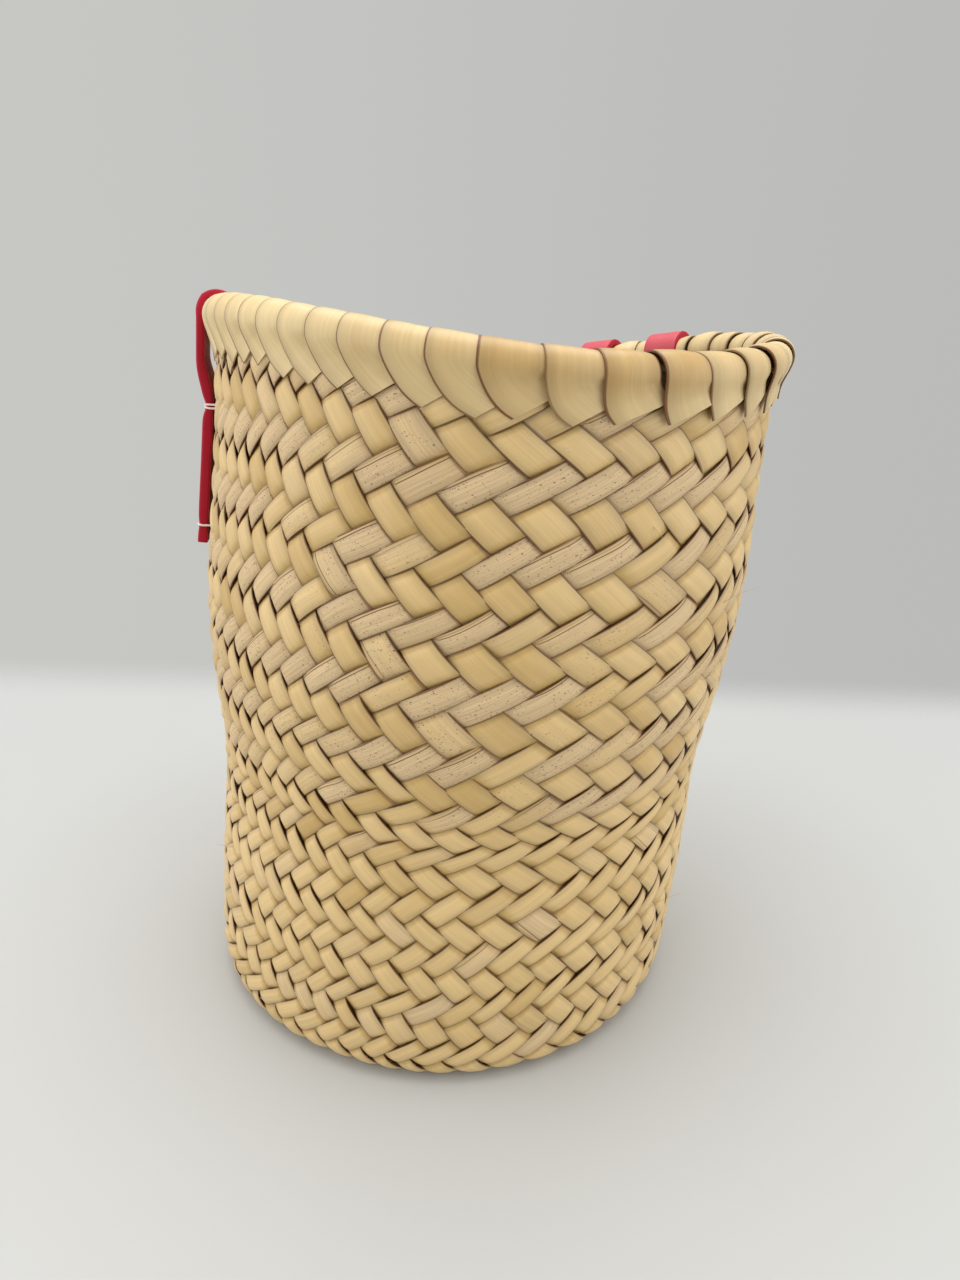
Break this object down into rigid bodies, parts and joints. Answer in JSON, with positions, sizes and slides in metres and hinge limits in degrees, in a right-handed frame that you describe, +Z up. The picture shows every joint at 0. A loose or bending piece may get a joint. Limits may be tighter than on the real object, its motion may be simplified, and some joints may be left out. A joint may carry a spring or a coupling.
{
  "type": "basket bag",
  "caption": "Round soft basket bag plaited from palm-leaf strips in a slanting twill, with a wrapped rolled rim and leather strap handles sewn outside and hanging over the rim into the basket.",
  "frame": {"origin": "middle of the flat base, on the floor", "axes": "+Z up; -Y towards the side that the picture shows; +X to the right there, the way the soft wall leans"},
  "size_m": [0.2118, 0.1994, 0.2661],
  "materials": {
    "palm_plait": "satin dried palm leaf",
    "palm_rim": "satin dried palm leaf",
    "palm_core": "matt leaf bundle",
    "strap_leather": "smooth dyed leather with raw edges",
    "thread": "waxed thread"
  },
  "bodies": {
    "basket": {"base_plait": "palm_plait", "wall_plait": "palm_plait", "rim_core": "palm_core", "rim_wrapping": "palm_rim", "handle_a_tail_1": "strap_leather", "handle_a_stitch_1_upper": "thread", "handle_a_stitch_1_lower": "thread", "handle_a_tail_2": "strap_leather", "handle_a_stitch_2_upper": "thread", "handle_a_stitch_2_lower": "thread", "handle_b_tail_1": "strap_leather", "handle_b_stitch_1_upper": "thread", "handle_b_stitch_1_lower": "thread", "handle_b_tail_2": "strap_leather", "handle_b_stitch_2_upper": "thread", "handle_b_stitch_2_lower": "thread"},
    "handle_a_crest": {"handle_a_crest_1": "strap_leather", "handle_a_crest_2": "strap_leather"},
    "handle_a_loop": {"handle_a_loop": "strap_leather"},
    "handle_b_crest": {"handle_b_crest_1": "strap_leather", "handle_b_crest_2": "strap_leather"},
    "handle_b_loop": {"handle_b_loop": "strap_leather"}
  },
  "joints": [
    {"name": "handle_a_lift", "type": "hinge", "parent": "basket", "child": "handle_a_crest", "pos_m": [-0.08442, 0.00485, 0.25873], "axis": [-0.0343, -0.9821, 0.1853], "range_deg": [0, 90]},
    {"name": "handle_a_unroll", "type": "hinge", "parent": "handle_a_crest", "child": "handle_a_loop", "pos_m": [-0.06986, 0.00434, 0.25873], "axis": [-0.0343, -0.9821, 0.1853], "range_deg": [0, 90]},
    {"name": "handle_b_lift", "type": "hinge", "parent": "basket", "child": "handle_b_crest", "pos_m": [0.07923, 0.07752, 0.24673], "axis": [-0.7563, 0.6346, -0.1593], "range_deg": [0, 90]},
    {"name": "handle_b_unroll", "type": "hinge", "parent": "handle_b_crest", "child": "handle_b_loop", "pos_m": [0.06986, 0.06636, 0.24673], "axis": [-0.7563, 0.6346, -0.1593], "range_deg": [0, 90]}
  ],
  "couplings": [
    {"joint": "handle_a_unroll", "follows": "handle_a_lift", "ratio": 1},
    {"joint": "handle_b_unroll", "follows": "handle_b_lift", "ratio": 1}
  ]
}
